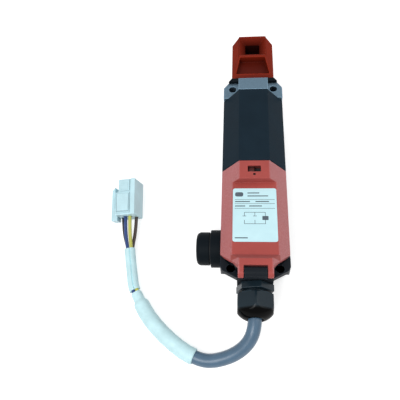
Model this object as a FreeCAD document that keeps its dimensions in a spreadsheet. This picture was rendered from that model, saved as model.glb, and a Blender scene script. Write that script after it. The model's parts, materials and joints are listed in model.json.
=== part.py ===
import FreeCAD, Part
import math
import os
import re
import Sketcher
from FreeCAD import Vector

# Guard interlock switch with a key-operated head and solenoid locking. It lies on its mounting
# face: +Z is the front, +Y points to the head and -Y to the cable gland. The origin is on the
# mounting face, in the middle of the four mounting holes. All sizes are in millimetres.

SIZES = {
    # Shell shared by the base and the two covers
    "body_width": 43,
    "front_height": 50,
    "shoulder_drop": 13.5,
    "rim_drop": 16,
    "front_flat": 20,
    "wall": 2.4,
    "floor_wall": 3,
    "gasket_inset": 0.6,
    "gasket_width": 1.2,
    "cover_gap": 0.3,
    # Mounting holes
    "hole_pitch_across": 30,
    "hole_pitch_along": 140,
    "hole_bore": 5.3,
    # Base
    "base_tail": 76,
    "tail_side": 68.6,
    "tail_bevel_in": 1.4,
    "tail_bevel_end": 71.2,
    "tail_flat": 22.4,
    "low_ear_height": 36,
    "low_ear_thick": 4.5,
    "tail_shelf": 72,
    "tail_foot": 60,
    "tail_wall": 1.6,
    "tail_room_rise": 24,
    "chamber_split": 2,
    "slide_window_width": 13,
    "slide_window_height": 5,
    "lip": 1.2,
    # Front cover and its hinge
    "cover_side_end": 61,
    "cover_tail": 73,
    "cover_end_wall": 2.4,
    "recess_top": 14,
    "recess_depth": 5.2,
    "recess_ramp_foot": 64.4,
    "recess_ramp_head": 68.9,
    "window_width": 8.4,
    "window_height": 4.6,
    "window_place": 6.4,
    "dimple_place": 10.7,
    "dimple_bore": 1.6,
    "dimple_depth": 1.2,
    "hinge_radius": 3.4,
    "hinge_pin_bore": 2.6,
    "hinge_play": 0.05,
    "barrel_half": 6.5,
    "leg_inner": 7,
    "leg_outer": 10.4,
    # Release slider under the window
    "slider_length": 8.2,
    "slider_width": 6,
    "slider_thick": 3,
    "slider_travel": 4,
    "slider_gap": 0.25,
    "slider_groove": 1.2,
    "slider_rail": 1,
    "slider_guide_thick": 1.6,
    # Upper cover and metal end frame
    "cover_top": 61.5,
    "frame_shoulder": 71.4,
    "frame_end": 76,
    "frame_flat": 36.4,
    "high_ear_height": 40.4,
    "block_width": 21,
    "block_end": 72.2,
    "head_axis": 27,
    "bush_outer": 13,
    "rod_diameter": 8,
    "running_gap": 0.3,
    "bush_play": 0.08,
    # Head
    "collar_width": 36,
    "head_base": 79.3,
    "head_width": 31.2,
    "head_depth": 31,
    "head_shoulder": 115.3,
    "head_top": 123.5,
    "head_flat": 19.6,
    "head_bevel_rise": 6.2,
    "head_bevel_drop": 4.4,
    "head_flank_flat": 20.8,
    "head_flank_drop": 1.7,
    "funnel_width": 20.4,
    "funnel_low": 103,
    "funnel_high": 122.6,
    "funnel_depth": 6,
    "slot_width": 10.8,
    "slot_low": 110,
    "slot_high": 119.2,
    "slot_floor": 15,
    "end_funnel_width": 15,
    "end_funnel_deep": 15,
    "end_slot_deep": 9.2,
    "end_slot_place": 24,
    "scoop_low": 86,
    "scoop_high": 100.9,
    "scoop_top_width": 18.8,
    "scoop_foot_width": 25,
    "scoop_depth": 5.5,
    "scoop_rise": 1.6,
    # Key cam
    "cam_place": 103.5,
    "cam_radius": 8.2,
    "cam_flat": 5.2,
    "cam_thick": 8,
    "cam_notch": 4.4,
    "cam_notch_depth": 3.6,
    "cam_pin": 3,
    "cam_pin_length": 26,
    "cam_room": 0.4,
    # Switching slide
    "tip_diameter": 2.4,
    "tip_length": 3,
    "tip_gap": 0.35,
    "web_place": 53,
    "web_thick": 4,
    "web_width": 8,
    "bar_width": 12,
    "bar_thick": 4,
    "bar_lift": 0.3,
    "bar_end": 36,
    "slide_travel": 3.4,
    "slide_spring_outer": 7.6,
    # Locking solenoid, its axis square to the mounting face
    "solenoid_place": 30,
    "yoke_width": 22,
    "yoke_length": 32,
    "yoke_foot": 9.3,
    "yoke_plate": 2,
    "yoke_height": 32.7,
    "rail_width": 3,
    "bobbin_outer": 26,
    "bobbin_bore": 9.2,
    "bobbin_tube": 10.8,
    "bobbin_flange": 1.2,
    "coil_outer": 24.6,
    "plunger_diameter": 8.6,
    "plunger_length": 18,
    "pin_diameter": 5.6,
    "lock_spring_length": 8.4,
    "spring_wall": 1,
    # Contacts
    "contact_high": 8,
    "contact_low": 38,
    "contact_inner": 4.6,
    "contact_outer": 16,
    "contact_height": 24,
    "carrier_width": 8.4,
    "carrier_top": 28,
    "bridge_width": 17,
    "bridge_thick": 1.2,
    "bridge_length": 4,
    "bridge_pitch": 10,
    "screw_head": 4.4,
    "screw_place": 12.8,
    "screw_rise": 2.2,
    "screw_shank": 2.6,
    "screw_depth": 6,
    "screw_slot": 0.7,
    # Cable entries
    "port_height": 22,
    "gland_thread": 16,
    "gland_flats": 22,
    "gland_collar_flats": 21,
    "gland_collar": 4.4,
    "gland_gap": 2,
    "gland_hex": 9.2,
    "gland_dome": 6,
    "gland_round": 4.8,
    "gland_seal_outer": 14,
    "gland_mouth": 9.4,
    "cable_diameter": 8.6,
    "plug_place": 51,
    "plug_thread": 20,
    "plug_bore": 16,
    "plug_collar": 24.6,
    "plug_collar_length": 6.7,
    "plug_cap": 21.8,
    "plug_cap_length": 8.6,
    "plug_round": 3,
    "plug_seal": 0.7,
    "plug_boss": 4,
    # Cable, wires and connector
    "sleeve_outer": 10.4,
    "neck_sleeve_outer": 7.5,
    "upper_sleeve_outer": 7.6,
    "upper_sleeve_gap": 2,
    "upper_sleeve_wall": 0.6,
    "wire_diameter": 2.2,
    "wire_spread": 2.5,
    "plug_width": 15,
    "plug_length": 26.4,
    "plug_height": 16.2,
    "plug_step": 2.2,
    "plug_split": 3.6,
    "plug_rail": 3.4,
    "plug_rail_rise": 0.9,
    "plug_ramp": 7,
    "plug_ramp_flat": 1,
    "plug_ramp_drop": 5.4,
    "plug_entry_inner": 1.7,
    "plug_entry_outer": 5,
    "plug_entry_up": 2.2,
    "plug_entry_depth": 6,
    "plug_lead_straight": 9,
    "plug_across": 88.9,
    "plug_along": 6,
    "plug_lean": 2,
    "plug_tip": 14,
    "plug_roll": 9.5,
    "plug_socket": 3.4,
    "plug_socket_pitch": 4.4,
    "plug_socket_side": 0.8,
    "plug_socket_depth": 9,
    "plug_terminal": 1.8,
    "plug_latch_gap": 2.2,
    "plug_latch_thick": 2.4,
    "plug_latch_foot": 6,
    "plug_latch_reach": 9,
    "plug_latch_tail": 3,
    "plug_latch_width": 7,
    "plug_lock_edge": 1.4,
    "plug_lock_rise": 0.8,
}

doc = FreeCAD.newDocument("interlock_switch")
sheet = doc.addObject("Spreadsheet::Sheet", "sizes")
for row, (alias, value) in enumerate(SIZES.items(), start=1):
    sheet.set(f"A{row}", alias)
    sheet.set(f"B{row}", str(value))
    sheet.setAlias(f"B{row}", alias)
doc.recompute()

pieces = []
PLANES = {"X": "YZ_Plane", "Y": "XZ_Plane", "Z": "XY_Plane"}
# How the gland's two hexagons happen to be turned, in degrees.
GLAND_BODY_TURN = 13
GLAND_NUT_TURN = 28


def bound(text):
    """The expression `text` with each size read from the sheet."""
    return re.sub(r"[a-z_]+", lambda m: "sizes." + m.group() if m.group() in SIZES else m.group(), str(text))


def number(text):
    return float(sheet.evalExpression(bound(text)))


def minus(text):
    return f"-({text})"


# The flank is the slanted strip between the front flat and the shoulder of the covers.
RUN = "((body_width - front_flat)/2)"
RISE = "shoulder_drop"
SLANT = f"sqrt({RUN}^2 + {RISE}^2)"
HALF = "(body_width/2)"
INNER = "(body_width/2 - wall)"
SHOULDER = "(front_height - shoulder_drop)"
RIM = "(front_height - rim_drop)"
RECESS = "(front_height - recess_depth)"


def flank_x(height, depth):
    """Half-width of the flank at a height, `depth` below its outer skin."""
    return f"(front_flat/2 + (front_height - ({height}))*{RUN}/{RISE} - ({depth})*{SLANT}/{RISE})"


def flank_z(half_width, depth):
    return f"(front_height - (({half_width}) - front_flat/2)*{RISE}/{RUN} - ({depth})*{SLANT}/{RUN})"


# The front cover's lower corners are cut off along a line from its flank to its front flat.
CUT_ALONG = "(cover_tail - cover_side_end)"
CUT_LINE = f"sqrt({RUN}^2 + {CUT_ALONG}^2)"


def corner_y(half_width, inset):
    """Place along Y of the corner cut at a half-width, moved `inset` into the housing."""
    return f"-(cover_side_end + ({HALF} - ({half_width}))*{CUT_ALONG}/{RUN} - ({inset})*{CUT_LINE}/{RUN})"


def corner_x(distance, inset):
    """Half-width of the corner cut at a distance below the origin, moved in the same way."""
    return f"({HALF} - (({distance}) - cover_side_end)*{RUN}/{CUT_ALONG} - ({inset})*{CUT_LINE}/{CUT_ALONG})"


HINGE_Y = "-(cover_tail + hinge_radius)"
HINGE_Z = "(front_height - hinge_radius)"


def new_body(label):
    piece = doc.addObject("PartDesign::Body", label)
    piece.Label = label
    piece.AllowCompound = True
    pieces.append(piece)
    return piece


def outline(points):
    """A closed loop of straight sides, every corner bound to the sheet."""

    def draw(sketch):
        places = [Vector(number(across), number(up), 0) for across, up in points]
        sides = [sketch.addGeometry(Part.LineSegment(a, b)) for a, b in zip(places, places[1:] + places[:1])]
        for side, (across, up) in zip(sides, points):
            bind(sketch, Sketcher.Constraint("DistanceX", -1, 1, side, 1, number(across)), across)
            bind(sketch, Sketcher.Constraint("DistanceY", -1, 1, side, 1, number(up)), up)
        for side, following in zip(sides, sides[1:] + sides[:1]):
            sketch.addConstraint(Sketcher.Constraint("Coincident", side, 2, following, 1))

    return draw


def mirrored(points):
    """The outline whose right half is `points`, in order from one end to the other."""
    return outline(points + [(minus(across), up) for across, up in reversed(points)])


def both_sides(points):
    """Two outlines, `points` and its mirror image."""
    return [outline(points), outline([(minus(across), up) for across, up in points])]


def rectangle(low_across, high_across, low_up, high_up):
    corners = [(low_across, low_up), (high_across, low_up), (high_across, high_up), (low_across, high_up)]
    return outline(corners)


def band(half_width, low_up, high_up):
    return rectangle(minus(half_width), half_width, low_up, high_up)


def circle(diameter, across="0", up="0"):
    def draw(sketch):
        centre = Vector(number(across), number(up), 0)
        ring = sketch.addGeometry(Part.Circle(centre, Vector(0, 0, 1), number(diameter)/2))
        bind(sketch, Sketcher.Constraint("DistanceX", -1, 1, ring, 3, centre.x), across)
        bind(sketch, Sketcher.Constraint("DistanceY", -1, 1, ring, 3, centre.y), up)
        bind(sketch, Sketcher.Constraint("Radius", ring, number(diameter)/2), f"({diameter})/2")

    return draw


def hexagon(flats, turn=0):
    """A regular hexagon about the sketch's origin, turned by an angle in degrees."""
    corners = [math.radians(turn + 60*step) for step in range(6)]
    reach = f"(({flats})/sqrt(3))"
    return outline([(f"{reach}*{math.cos(a):.6f}", f"{reach}*{math.sin(a):.6f}") for a in corners])


def bind(sketch, constraint, text):
    sketch.setExpression(f"Constraints[{sketch.addConstraint(constraint)}]", bound(text))


def new_sketch(piece, axis, at, loops, centre=("0", "0")):
    """A sketch square to `axis` at the place `at`, with its own origin at `centre`."""
    sketch = piece.newObject("Sketcher::SketchObject", piece.Label + "_sketch")
    plane = [feature for feature in piece.Origin.OriginFeatures if feature.Role == PLANES[axis]][0]
    sketch.AttachmentSupport = [(plane, "")]
    sketch.MapMode = "FlatFace"
    # The plane square to Y faces -Y, so its offset counts the other way.
    sketch.setExpression("AttachmentOffset.Base.z", bound(minus(at) if axis == "Y" else at))
    sketch.setExpression("AttachmentOffset.Base.x", bound(centre[0]))
    sketch.setExpression("AttachmentOffset.Base.y", bound(centre[1]))
    for loop in loops:
        loop(sketch)
    return sketch


def pad(piece, axis, low, high, *loops, centre=("0", "0"), kind="Pad"):
    """Material between two places along a row axis."""
    sketch = new_sketch(piece, axis, high if axis == "Y" else low, loops, centre)
    feature = piece.newObject("PartDesign::" + kind, piece.Label + "_" + kind.lower())
    feature.Profile = sketch
    feature.setExpression("Length", bound(f"({high}) - ({low})"))
    feature.Reversed = kind == "Pocket"
    return feature


def cut(piece, axis, low, high, *loops, centre=("0", "0")):
    return pad(piece, axis, low, high, *loops, centre=centre, kind="Pocket")


def loft(piece, axis, places, loops, kind="SubtractiveLoft", centre=("0", "0")):
    """A straight-sided loft from one outline to the other."""
    first, last = [new_sketch(piece, axis, at, [loop], centre) for at, loop in zip(places, loops)]
    feature = piece.newObject("PartDesign::" + kind, piece.Label + "_loft")
    feature.Profile = first
    feature.Sections = [last]
    feature.Ruled = True
    return feature


def revolve(piece, about, centre, points, kind="Revolution"):
    """A profile of (place along the axis, radius) turned about a row axis through `centre`."""
    x, y, z = centre
    if about == "Y":
        sketch = new_sketch(piece, "X", x, [outline(points)], ("0", z))
        line = "H_Axis"
    elif about == "X":
        sketch = new_sketch(piece, "Y", y, [outline(points)], ("0", z))
        line = "H_Axis"
    else:
        sketch = new_sketch(piece, "Y", y, [outline([(radius, along) for along, radius in points])], (x, "0"))
        line = "V_Axis"
    feature = piece.newObject("PartDesign::" + kind, piece.Label + "_turned")
    feature.Profile = sketch
    feature.ReferenceAxis = (sketch, [line])
    feature.Angle = 360
    return feature


def fillet(piece, feature, radius, chosen):
    """Rounds the edges of `feature` whose middle passes the test `chosen`."""
    doc.recompute()
    names = []
    for place, edge in enumerate(feature.Shape.Edges, start=1):
        middle = edge.valueAt((edge.FirstParameter + edge.LastParameter)/2)
        if chosen(edge, middle):
            names.append(f"Edge{place}")
    rounding = piece.newObject("PartDesign::Fillet", piece.Label + "_fillet")
    rounding.Base = (feature, names)
    rounding.setExpression("Radius", bound(radius))
    return rounding


MOUNT_X = "(hole_pitch_across/2)"
MOUNT_Y = "(hole_pitch_along/2)"
BARREL_FRONT = f"({HINGE_Y} + hinge_radius - cover_gap)"


def base_housing():
    """The moulded tub with its two chambers, cable entries, low ears and hinge barrel."""
    base = new_body("base_housing")
    edge = [(HALF, "cover_top"), (HALF, "-tail_side"), (f"{HALF} - tail_bevel_in", "-tail_bevel_end"),
            ("tail_flat/2", "-base_tail")]
    pad(base, "Z", "0", RIM, mirrored(edge))
    wall_back = "(lip + wall)"
    crest = f"({RECESS} - wall - cover_gap)"
    skin = "(wall + cover_gap)"
    # A raised wall closes the housing under the cut corners and the end of the front cover.
    outer = [(f"{INNER} - cover_gap", corner_y(f"{INNER} - cover_gap", "lip")),
             (corner_x("cover_tail - lip/2", "lip"), "-(cover_tail - lip/2)")]
    inner = [(corner_x(f"cover_tail - {wall_back}", wall_back), f"-(cover_tail - {wall_back})"),
             (f"{INNER} - cover_gap", corner_y(f"{INNER} - cover_gap", wall_back))]
    for side in both_sides(outer + inner):
        pad(base, "Z", RIM, crest, side)
    pad(base, "Z", RIM, crest, band(corner_x("cover_tail - lip/2", "lip"),
        f"-(cover_tail - {wall_back})", "-(cover_tail - lip/2)"))
    above = f"({crest} + 1)"
    over = [(flank_x(above, skin), above), (f"{HALF} + 1", above),
            (f"{HALF} + 1", flank_z(f"{HALF} + 1", skin))]
    for side in both_sides(over):
        cut(base, "Y", "-(cover_tail + 1)", "-(cover_side_end - 4)", side)
    # Ears round the lower mounting holes, clear of the cover's corner cuts.
    ear = [(HALF, corner_y(HALF, "-cover_gap")), (HALF, "-tail_side"),
           (f"{HALF} - tail_bevel_in", "-tail_bevel_end"), ("tail_flat/2", "-base_tail"),
           ("leg_outer + cover_gap", "-base_tail"),
           ("leg_outer + cover_gap", corner_y("leg_outer + cover_gap", "-cover_gap"))]
    for side in both_sides(ear):
        pad(base, "Z", RIM, "low_ear_height", side)
    # Bracket and barrel of the cover hinge.
    bracket = [("-(cover_tail - lip)", RIM), ("-base_tail", RIM),
               (f"{HINGE_Y} - hinge_radius", f"{HINGE_Z} - hinge_radius/2"),
               (f"{HINGE_Y} - hinge_radius", HINGE_Z),
               (BARREL_FRONT, HINGE_Z), (BARREL_FRONT, crest), ("-(cover_tail - lip)", crest)]
    pad(base, "X", "-barrel_half", "barrel_half", outline(bracket))
    pad(base, "X", "-barrel_half", "barrel_half", circle("2*hinge_radius", HINGE_Y, HINGE_Z))
    cut(base, "X", "-barrel_half", "barrel_half", circle("hinge_pin_bore", HINGE_Y, HINGE_Z))
    # Upper chamber for the solenoid, lower chamber for the contacts, and the slide's window.
    cut(base, "Z", "floor_wall", RIM, band(INNER, "chamber_split", "cover_top - wall"))
    end, room = f"-(cover_tail - {wall_back})", "(tail_flat/2 - wall)"
    chamber = [(INNER, "-chamber_split"), (INNER, corner_y(INNER, wall_back)),
               (corner_x(f"cover_tail - {wall_back}", wall_back), end)]
    cut(base, "Z", "tail_room_rise", RIM, mirrored(chamber))
    narrow = [(INNER, "-chamber_split"), (INNER, "-(tail_foot - tail_wall)"),
              (room, "-(tail_foot - tail_wall)"), (room, end)]
    cut(base, "Z", "floor_wall", "tail_room_rise", mirrored(narrow))
    # Beside the gland the tail slopes back under the ears to the mounting face.
    under = "(low_ear_height - low_ear_thick)"
    slope = outline([("-tail_foot", "0"), ("-tail_shelf", under), ("-(base_tail + 1)", under),
                     ("-(base_tail + 1)", "-1"), ("-tail_foot", "-1")])
    cut(base, "X", "tail_flat/2", HALF, slope)
    cut(base, "X", minus(HALF), "-tail_flat/2", slope)
    cut(base, "Z", "floor_wall", "floor_wall + slide_window_height",
        band("slide_window_width/2", "-chamber_split", "chamber_split"))
    cut(base, "Y", "cover_top - wall", "cover_top", circle("bush_outer"), centre=("0", "head_axis"))
    # Rails that carry the solenoid yoke over the sliding bar.
    rails = both_sides([("yoke_width/2 - rail_width", "solenoid_place - yoke_length/2"),
                        ("yoke_width/2", "solenoid_place - yoke_length/2"),
                        ("yoke_width/2", "solenoid_place + yoke_length/2"),
                        ("yoke_width/2 - rail_width", "solenoid_place + yoke_length/2")])
    pad(base, "Z", "floor_wall", "yoke_foot", *rails)
    # Boss behind the side entry, then the two threaded entries and the mounting holes.
    pad(base, "X", f"-{INNER}", f"-({INNER} - plug_boss)", circle("plug_thread + 2*wall"),
        centre=("-plug_place", "port_height"))
    cut(base, "X", f"-{HALF}", f"-({INNER} - plug_boss)", circle("plug_thread"),
        centre=("-plug_place", "port_height"))
    cut(base, "Y", "-base_tail", f"-(cover_tail - {wall_back})", circle("gland_thread"),
        centre=("0", "port_height"))
    cut(base, "Z", "0", "low_ear_height", circle("hole_bore", MOUNT_X, minus(MOUNT_Y)),
        circle("hole_bore", minus(MOUNT_X), minus(MOUNT_Y)))


def front_cover():
    """The hinged red cover with its label recess, release window and two hinge legs."""
    cover = new_body("front_cover")
    foot = f"({RIM} + cover_gap)"
    section = [(HALF, foot), (HALF, SHOULDER), ("front_flat/2", "front_height")]
    pad(cover, "Y", "-cover_tail", "-cover_gap/2", mirrored(section))
    corner = [(HALF, "-cover_side_end"), (f"{HALF} + 1", "-cover_side_end"),
              (f"{HALF} + 1", "-(cover_tail + 1)"), (corner_x("cover_tail + 1", "0"), "-(cover_tail + 1)")]
    for side in both_sides(corner):
        cut(cover, "Z", f"{foot} - 1", "front_height + 1", side)
    recess = [("-recess_top", "front_height + 1"), ("-recess_top", RECESS), ("-recess_ramp_foot", RECESS),
              ("-recess_ramp_head", "front_height"), ("-recess_ramp_head", "front_height + 1")]
    cut(cover, "X", f"-{HALF}", HALF, outline(recess))
    ceiling = f"({RECESS} - wall)"
    hollow = [(INNER, f"{foot} - 1"), (INNER, flank_z(INNER, "wall")), (flank_x(ceiling, "wall"), ceiling)]
    cut(cover, "Y", "-(cover_tail + 1)", "-cover_end_wall", mirrored(hollow))
    cut(cover, "Z", f"{ceiling} - 1", "front_height - wall",
        band(flank_x("front_height - wall", "wall"), "-(recess_top - wall)", "-cover_end_wall"))
    cut(cover, "Z", "front_height - wall - 1", "front_height + 1",
        band("window_width/2", "-(window_place + window_height/2)", "-(window_place - window_height/2)"))
    dimple = circle("dimple_bore", "0", "-dimple_place")
    cut(cover, "Z", "front_height - dimple_depth", "front_height + 1", dimple)
    arm = [("-(cover_tail - wall)", HINGE_Z), (HINGE_Y, HINGE_Z), (HINGE_Y, "front_height"),
           ("-(cover_tail - wall)", "front_height")]
    for low, high in (("leg_inner", "leg_outer"), ("-leg_outer", "-leg_inner")):
        pad(cover, "X", low, high, outline(arm))
        pad(cover, "X", low, high, circle("2*hinge_radius", HINGE_Y, HINGE_Z))
        cut(cover, "X", low, high, circle("hinge_pin_bore - 2*hinge_play", HINGE_Y, HINGE_Z))


def cover_gasket():
    """A flat seal on the rim under the front cover, open towards the hinge."""
    gasket = new_body("cover_gasket")
    outer, inner = f"({HALF} - gasket_inset)", f"({HALF} - gasket_inset - gasket_width)"
    foot = "-(cover_side_end - lip)"
    ring = [(outer, "-gasket_inset"), (outer, foot), (inner, foot), (inner, "-(gasket_inset + gasket_width)")]
    pad(gasket, "Z", RIM, f"{RIM} + cover_gap", mirrored(ring))


def hinge_pin():
    """The steel pin, tight in the cover's legs and loose in the barrel."""
    pin = new_body("hinge_pin")
    rod = circle("hinge_pin_bore - 2*hinge_play", HINGE_Y, HINGE_Z)
    pad(pin, "X", "-leg_outer", "leg_outer", rod)


def release_slider():
    """The red slider that shows in the window, and the plate that holds it in the cover."""
    slider = new_body("release_slider")
    top = "(front_height - wall - slider_gap)"
    middle = "-window_place"
    body = rectangle("-slider_length", "0", f"{middle} - slider_width/2", f"{middle} + slider_width/2")
    pad(slider, "Z", f"{top} - slider_thick", top, body)
    groove = rectangle("-slider_length/2 - slider_groove/2", "-slider_length/2 + slider_groove/2",
                       f"{middle} - slider_width/2 - 1", f"{middle} + slider_width/2 + 1")
    cut(slider, "Z", f"{top} - slider_groove", f"{top} + 1", groove)
    guide = new_body("slider_guide")
    high = f"({top} - slider_thick - slider_gap)"
    sides = band(f"{flank_x('front_height - wall', 'wall')} - slider_gap",
                 "-(recess_top - wall - slider_gap)", "-(cover_end_wall + slider_gap)")
    pad(guide, "Z", f"{high} - slider_guide_thick", high, sides)
    reach, side = "(slider_travel + slider_gap)", f"({middle} - slider_width/2 - slider_gap)"
    pad(guide, "Z", high, f"{high} + slider_thick",
        rectangle("-slider_length", f"{reach} + slider_rail", f"{side} - slider_rail", side))
    pad(guide, "Z", high, f"{high} + slider_thick",
        rectangle(reach, f"{reach} + slider_rail", side, f"{middle} + slider_width/2"))


def upper_cover():
    """The fixed dark cover over the solenoid, closed at both ends."""
    cover = new_body("upper_cover")
    section = [(HALF, RIM), (HALF, SHOULDER), ("front_flat/2", "front_height")]
    pad(cover, "Y", "cover_gap/2", "cover_top", mirrored(section))
    ceiling = "(front_height - wall)"
    hollow = [(INNER, f"{RIM} - 1"), (INNER, flank_z(INNER, "wall")), (flank_x(ceiling, "wall"), ceiling)]
    cut(cover, "Y", "cover_end_wall", "cover_top - wall", mirrored(hollow))


def mounting_frame():
    """The die-cast end frame with the upper ears, the front block and the slide's bore."""
    frame = new_body("mounting_frame")
    ears = [(HALF, "cover_top"), (HALF, "frame_shoulder"), ("frame_flat/2", "frame_end")]
    pad(frame, "Z", "0", "high_ear_height", mirrored(ears))
    pad(frame, "Z", "high_ear_height", "front_height", band("block_width/2", "cover_top", "block_end"))
    cut(frame, "Y", "cover_top", "frame_end", circle("bush_outer"), centre=("0", "head_axis"))
    cut(frame, "Z", "0", "high_ear_height", circle("hole_bore", MOUNT_X, MOUNT_Y),
        circle("hole_bore", minus(MOUNT_X), MOUNT_Y))
    bush = new_body("slide_bush")
    pad(bush, "Y", "cover_top - wall", "frame_end", circle("bush_outer"),
        circle("rod_diameter + 2*bush_play"), centre=("0", "head_axis"))


def neck_collar():
    """The turning collar between the end frame and the head."""
    collar = new_body("neck_collar")
    low = rectangle("-collar_width/2", "collar_width/2", "-head_depth/2", "head_depth/2")
    high = rectangle("-head_width/2", "head_width/2", "-head_depth/2", "head_depth/2")
    loft(collar, "Y", ("frame_end", "head_base"), (low, high), "AdditiveLoft", ("0", "head_axis"))
    bore = circle("rod_diameter + 2*running_gap", "0", "head_axis")
    cut(collar, "Y", "frame_end", "head_base", bore)


def head_housing():
    """The red head: bevelled top corners, a funnel for the key in front and one on its end,
    and a scoop under the front funnel."""
    head = new_body("head_housing")
    face = "(head_axis + head_depth/2)"
    back = "(head_axis - head_depth/2)"
    edge = [("head_width/2", "head_base"), ("head_width/2", "head_shoulder"), ("head_flat/2", "head_top")]
    pad(head, "Z", back, face, mirrored(edge))
    bevel = [("head_base - 1", f"{face} - head_bevel_drop"), ("head_base", f"{face} - head_bevel_drop"),
             ("head_base + head_bevel_rise", face), ("head_base + head_bevel_rise", f"{face} + 1"),
             ("head_base - 1", f"{face} + 1")]
    cut(head, "X", "-head_width/2", "head_width/2", outline(bevel))
    flank = [("head_flank_flat/2", face), ("head_flank_flat/2", f"{face} + 1"),
             ("head_width/2 + 1", f"{face} + 1"), ("head_width/2 + 1", f"{face} - head_flank_drop"),
             ("head_width/2", f"{face} - head_flank_drop")]
    for side in both_sides(flank):
        cut(head, "Y", "head_base", "head_top", side)
    throat = f"({face} - funnel_depth)"
    slot = band("slot_width/2", "slot_low", "slot_high")
    loft(head, "Z", (face, throat), (band("funnel_width/2", "funnel_low", "funnel_high"), slot))
    cut(head, "Z", "slot_floor", throat, slot)
    mouth = band("end_funnel_width/2", "-end_funnel_deep/2", "end_funnel_deep/2")
    inlet = band("slot_width/2", "-end_slot_deep/2", "end_slot_deep/2")
    loft(head, "Y", ("slot_high", "head_top"), (inlet, mouth), centre=("0", "end_slot_place"))
    foot = [("scoop_foot_width/2", "scoop_low - scoop_rise"), ("scoop_top_width/2", "scoop_high")]
    cut(head, "Z", f"{face} - scoop_depth", f"{face} + 1", mirrored(foot))
    room = "(cam_radius + cam_room)"
    cut(head, "X", "-(cam_thick/2 + cam_room)", "cam_thick/2 + cam_room",
        rectangle(f"cam_place - {room}", f"cam_place + {room}", f"head_axis - {room}", f"head_axis + {room}"))
    cut(head, "X", "-cam_pin_length/2", "cam_pin_length/2", circle("cam_pin", "cam_place", "head_axis"))
    cut(head, "Y", "head_base", "cam_place", circle("rod_diameter + 2*running_gap", "0", "head_axis"))


def key_cam():
    """The disc that the key turns. Its flat rests over the tip of the switching slide."""
    cam = new_body("key_cam")
    side = ("-cam_thick/2", "cam_thick/2")
    here = ("cam_place", "head_axis")
    pad(cam, "X", *side, circle("2*cam_radius"), centre=here)
    cut(cam, "X", *side, rectangle("-cam_radius - 1", "-cam_flat", "-cam_radius", "cam_radius"), centre=here)
    notch = rectangle("cam_radius - cam_notch_depth", "cam_radius + 1", "-cam_notch/2", "cam_notch/2")
    cut(cam, "X", *side, notch, centre=here)
    front = rectangle("-cam_notch/2", "cam_notch/2", "cam_radius - cam_notch_depth", "cam_radius + 1")
    cut(cam, "X", *side, front, centre=here)
    cut(cam, "X", *side, circle("cam_pin + 2*hinge_play"), centre=here)
    pin = new_body("cam_pin")
    pad(pin, "X", "-cam_pin_length/2", "cam_pin_length/2", circle("cam_pin"), centre=here)


SLIDE_TIP = "(cam_place - cam_flat - tip_gap)"


def switching_slide():
    """The rod under the cam, its web and the flat bar that runs below the solenoid."""
    slide = new_body("switching_slide")
    low_bar = "(floor_wall + bar_lift)"
    rod = [("web_place", "0"), ("web_place", "rod_diameter/2"),
           (f"{SLIDE_TIP} - tip_length", "rod_diameter/2"), (SLIDE_TIP, "tip_diameter/2"), (SLIDE_TIP, "0")]
    revolve(slide, "Y", ("0", "0", "head_axis"), rod)
    pad(slide, "Y", "web_place", "web_place + web_thick", band("web_width/2", low_bar, "head_axis"))
    bar = band("bar_width/2", "-bar_end", "web_place + web_thick")
    pad(slide, "Z", low_bar, f"{low_bar} + bar_thick", bar)
    slot_half = "(pin_diameter/2 + running_gap)"
    cut(slide, "Z", low_bar, f"{low_bar} + bar_thick",
        band(slot_half, f"solenoid_place - {slot_half}", f"solenoid_place + {slot_half} + slide_travel"))
    spring = new_body("slide_spring")
    pad(spring, "Y", "solenoid_place + yoke_length/2", "web_place", circle("slide_spring_outer"),
        circle("slide_spring_outer - 2*spring_wall"), centre=("0", "head_axis"))


def solenoid():
    """Yoke, bobbin, winding, plunger with its lock pin, and the spring that lifts it again."""
    yoke = new_body("solenoid_yoke")
    low, high = "solenoid_place - yoke_length/2", "solenoid_place + yoke_length/2"
    top = "(yoke_foot + yoke_height)"
    inside = rectangle(f"{low} + yoke_plate", f"{high} - yoke_plate", "yoke_foot + yoke_plate",
                       f"{top} - yoke_plate")
    pad(yoke, "X", "-yoke_width/2", "yoke_width/2", rectangle(low, high, "yoke_foot", top), inside)
    cut(yoke, "Z", "yoke_foot", "yoke_foot + yoke_plate", circle("pin_diameter + 2*running_gap"),
        centre=("0", "solenoid_place"))
    bobbin = new_body("solenoid_bobbin")
    foot, crown = "(yoke_foot + yoke_plate)", f"({top} - yoke_plate)"
    tube, rim, bore = "bobbin_tube/2", "bobbin_outer/2", "bobbin_bore/2"
    spool = [(foot, bore), (foot, rim), (f"{foot} + bobbin_flange", rim), (f"{foot} + bobbin_flange", tube),
             (f"{crown} - bobbin_flange", tube), (f"{crown} - bobbin_flange", rim), (crown, rim),
             (crown, bore)]
    revolve(bobbin, "Z", ("0", "solenoid_place", "0"), spool)
    coil = new_body("solenoid_coil")
    pad(coil, "Z", f"{foot} + bobbin_flange", f"{crown} - bobbin_flange", circle("coil_outer"),
        circle("bobbin_tube"), centre=("0", "solenoid_place"))
    plunger = new_body("lock_plunger")
    rest = "(floor_wall + bar_lift + bar_thick + running_gap)"
    step = f"({foot} + lock_spring_length)"
    shape = [(rest, "0"), (rest, "pin_diameter/2"), (step, "pin_diameter/2"), (step, "plunger_diameter/2"),
             (f"{step} + plunger_length", "plunger_diameter/2"), (f"{step} + plunger_length", "0")]
    revolve(plunger, "Z", ("0", "solenoid_place", "0"), shape)
    spring = new_body("lock_spring")
    pad(spring, "Z", foot, step, circle("plunger_diameter"), circle("plunger_diameter - 2*spring_wall"),
        centre=("0", "solenoid_place"))


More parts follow.
